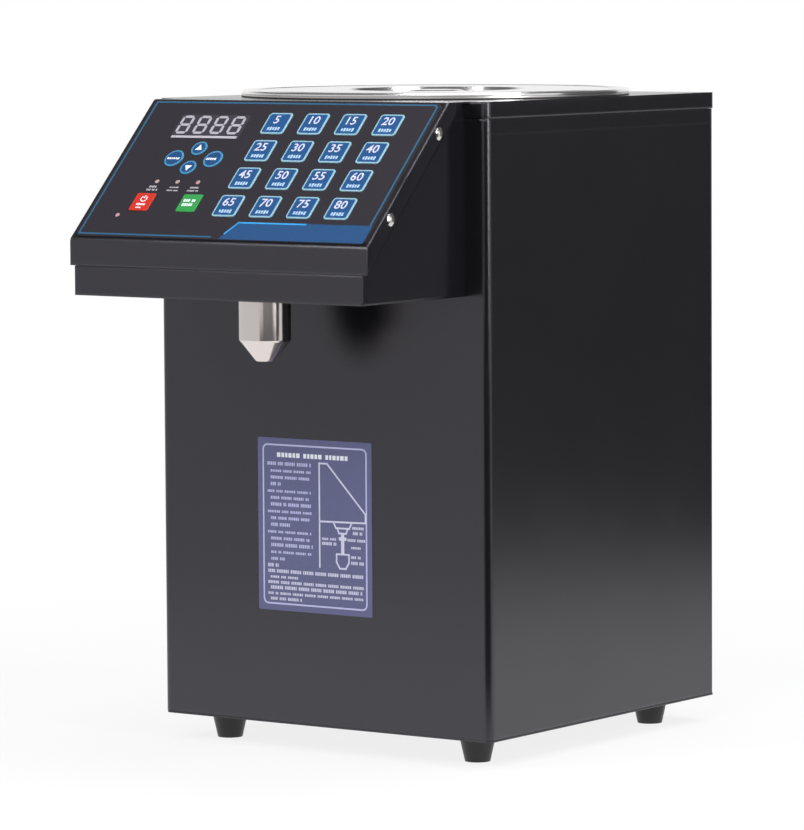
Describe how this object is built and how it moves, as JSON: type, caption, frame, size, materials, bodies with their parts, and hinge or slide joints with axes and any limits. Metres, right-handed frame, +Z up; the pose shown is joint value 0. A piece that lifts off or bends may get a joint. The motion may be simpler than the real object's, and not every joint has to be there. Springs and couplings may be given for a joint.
{
  "type": "fructose dispenser",
  "caption": "Countertop syrup dispenser: black sheet-metal casing with a round lidded tank, a projecting head with a sloped keypad and display, and a nozzle over a cup space.",
  "frame": {"origin": "centre of the outer box at the floor under the feet", "axes": "+Z up, -Y towards the user (the side with the control head), +X to the user's right"},
  "size_m": [0.27, 0.3944, 0.4424],
  "materials": {
    "casing_paint": "satin black powder coat",
    "head_paint": "satin black powder coat",
    "foot_rubber": "matt",
    "screw_steel": "bright nickel plate",
    "overlay_film": "satin printed polyester film",
    "window_film": "tinted window film",
    "display_black": "matt",
    "led_lens": "diffused lens",
    "board_green": "solder mask",
    "label_film": "satin printed film",
    "tank_steel": "brushed stainless steel",
    "seal_silicone": "silicone",
    "lid_steel": "polished stainless steel",
    "hose_silicone": "translucent silicone",
    "clamp_steel": "stainless steel",
    "pump_metal": "machined",
    "gear_steel": "ground steel",
    "motor_paint": "grey paint",
    "bracket_steel": "zinc plated",
    "supply_case": "pressed case",
    "socket_plastic": "moulded black",
    "rocker_plastic": "moulded red",
    "nozzle_chrome": "polished",
    "key_blue": "embossed printed film",
    "key_red": "embossed printed film",
    "key_green": "embossed printed film"
  },
  "bodies": {
    "casing": {"body_shell": "casing_paint", "back_panel": "casing_paint", "top_cover": "casing_paint", "base_plate": "casing_paint", "head_box": "head_paint", "head_cover": "head_paint", "feet": "foot_rubber", "machine_screws": "screw_steel", "cover_screws": "screw_steel", "keypad_overlay": "overlay_film", "display_window": "window_film", "display_module": "display_black", "indicator_leds": "led_lens", "control_board": "board_green", "instruction_label": "label_film", "tank": "tank_steel", "tank_outlet": "tank_steel", "tank_gasket": "seal_silicone", "inlet_hose": "hose_silicone", "outlet_hose": "hose_silicone", "hose_clamps": "clamp_steel", "pump_body": "pump_metal", "pump_cover": "pump_metal", "motor": "motor_paint", "pump_bracket": "bracket_steel", "power_supply": "supply_case", "power_inlet": "socket_plastic", "switch_body": "socket_plastic", "nozzle": "nozzle_chrome", "nozzle_fitting": "nozzle_chrome", "nozzle_nut": "nozzle_chrome"},
    "lid": {"lid": "lid_steel", "lid_grip": "lid_steel"},
    "rocker": {"switch_rocker": "rocker_plastic"},
    "pump_drive": {"drive_gear": "gear_steel", "shaft_coupling": "gear_steel", "motor_shaft": "gear_steel"},
    "pump_idler": {"idler_gear": "gear_steel"},
    "key_5": {"key_5": "key_blue"},
    "key_10": {"key_10": "key_blue"},
    "key_15": {"key_15": "key_blue"},
    "key_20": {"key_20": "key_blue"},
    "key_25": {"key_25": "key_blue"},
    "key_30": {"key_30": "key_blue"},
    "key_35": {"key_35": "key_blue"},
    "key_40": {"key_40": "key_blue"},
    "key_45": {"key_45": "key_blue"},
    "key_50": {"key_50": "key_blue"},
    "key_55": {"key_55": "key_blue"},
    "key_60": {"key_60": "key_blue"},
    "key_65": {"key_65": "key_blue"},
    "key_70": {"key_70": "key_blue"},
    "key_75": {"key_75": "key_blue"},
    "key_80": {"key_80": "key_blue"},
    "key_up": {"key_up": "key_blue"},
    "key_down": {"key_down": "key_blue"},
    "key_left": {"key_left": "key_blue"},
    "key_right": {"key_right": "key_blue"},
    "key_stop": {"key_stop": "key_red"},
    "key_start": {"key_start": "key_green"}
  },
  "joints": [
    {"name": "lid_lift", "type": "slide", "parent": "casing", "child": "lid", "axis": [0, 0, 1], "range_m": [0, 0.15]},
    {"name": "power_rocker", "type": "hinge", "parent": "casing", "child": "rocker", "pos_m": [0.072, 0.19376, 0.126], "axis": [0, 0, -1], "range_deg": [0, 18]},
    {"name": "pump_drive_spin", "type": "hinge", "parent": "casing", "child": "pump_drive", "pos_m": [-0.035, -0.02224, 0.0596], "axis": [0, 1, 0], "continuous": true},
    {"name": "pump_idler_spin", "type": "hinge", "parent": "casing", "child": "pump_idler", "pos_m": [-0.035, -0.02224, 0.0836], "axis": [0, 1, 0], "continuous": true},
    {"name": "key_5_press", "type": "slide", "parent": "casing", "child": "key_5", "axis": [0, 0.6993, -0.7148], "range_m": [0, 0.00045], "stiffness_N_per_m": 1500},
    {"name": "key_10_press", "type": "slide", "parent": "casing", "child": "key_10", "axis": [0, 0.6993, -0.7148], "range_m": [0, 0.00045], "stiffness_N_per_m": 1500},
    {"name": "key_15_press", "type": "slide", "parent": "casing", "child": "key_15", "axis": [0, 0.6993, -0.7148], "range_m": [0, 0.00045], "stiffness_N_per_m": 1500},
    {"name": "key_20_press", "type": "slide", "parent": "casing", "child": "key_20", "axis": [0, 0.6993, -0.7148], "range_m": [0, 0.00045], "stiffness_N_per_m": 1500},
    {"name": "key_25_press", "type": "slide", "parent": "casing", "child": "key_25", "axis": [0, 0.6993, -0.7148], "range_m": [0, 0.00045], "stiffness_N_per_m": 1500},
    {"name": "key_30_press", "type": "slide", "parent": "casing", "child": "key_30", "axis": [0, 0.6993, -0.7148], "range_m": [0, 0.00045], "stiffness_N_per_m": 1500},
    {"name": "key_35_press", "type": "slide", "parent": "casing", "child": "key_35", "axis": [0, 0.6993, -0.7148], "range_m": [0, 0.00045], "stiffness_N_per_m": 1500},
    {"name": "key_40_press", "type": "slide", "parent": "casing", "child": "key_40", "axis": [0, 0.6993, -0.7148], "range_m": [0, 0.00045], "stiffness_N_per_m": 1500},
    {"name": "key_45_press", "type": "slide", "parent": "casing", "child": "key_45", "axis": [0, 0.6993, -0.7148], "range_m": [0, 0.00045], "stiffness_N_per_m": 1500},
    {"name": "key_50_press", "type": "slide", "parent": "casing", "child": "key_50", "axis": [0, 0.6993, -0.7148], "range_m": [0, 0.00045], "stiffness_N_per_m": 1500},
    {"name": "key_55_press", "type": "slide", "parent": "casing", "child": "key_55", "axis": [0, 0.6993, -0.7148], "range_m": [0, 0.00045], "stiffness_N_per_m": 1500},
    {"name": "key_60_press", "type": "slide", "parent": "casing", "child": "key_60", "axis": [0, 0.6993, -0.7148], "range_m": [0, 0.00045], "stiffness_N_per_m": 1500},
    {"name": "key_65_press", "type": "slide", "parent": "casing", "child": "key_65", "axis": [0, 0.6993, -0.7148], "range_m": [0, 0.00045], "stiffness_N_per_m": 1500},
    {"name": "key_70_press", "type": "slide", "parent": "casing", "child": "key_70", "axis": [0, 0.6993, -0.7148], "range_m": [0, 0.00045], "stiffness_N_per_m": 1500},
    {"name": "key_75_press", "type": "slide", "parent": "casing", "child": "key_75", "axis": [0, 0.6993, -0.7148], "range_m": [0, 0.00045], "stiffness_N_per_m": 1500},
    {"name": "key_80_press", "type": "slide", "parent": "casing", "child": "key_80", "axis": [0, 0.6993, -0.7148], "range_m": [0, 0.00045], "stiffness_N_per_m": 1500},
    {"name": "key_up_press", "type": "slide", "parent": "casing", "child": "key_up", "axis": [0, 0.6993, -0.7148], "range_m": [0, 0.00045], "stiffness_N_per_m": 1500},
    {"name": "key_down_press", "type": "slide", "parent": "casing", "child": "key_down", "axis": [0, 0.6993, -0.7148], "range_m": [0, 0.00045], "stiffness_N_per_m": 1500},
    {"name": "key_left_press", "type": "slide", "parent": "casing", "child": "key_left", "axis": [0, 0.6993, -0.7148], "range_m": [0, 0.00045], "stiffness_N_per_m": 1500},
    {"name": "key_right_press", "type": "slide", "parent": "casing", "child": "key_right", "axis": [0, 0.6993, -0.7148], "range_m": [0, 0.00045], "stiffness_N_per_m": 1500},
    {"name": "key_stop_press", "type": "slide", "parent": "casing", "child": "key_stop", "axis": [0, 0.6993, -0.7148], "range_m": [0, 0.00045], "stiffness_N_per_m": 1500},
    {"name": "key_start_press", "type": "slide", "parent": "casing", "child": "key_start", "axis": [0, 0.6993, -0.7148], "range_m": [0, 0.00045], "stiffness_N_per_m": 1500}
  ],
  "couplings": [
    {"joint": "pump_idler_spin", "follows": "pump_drive_spin", "ratio": -1}
  ]
}
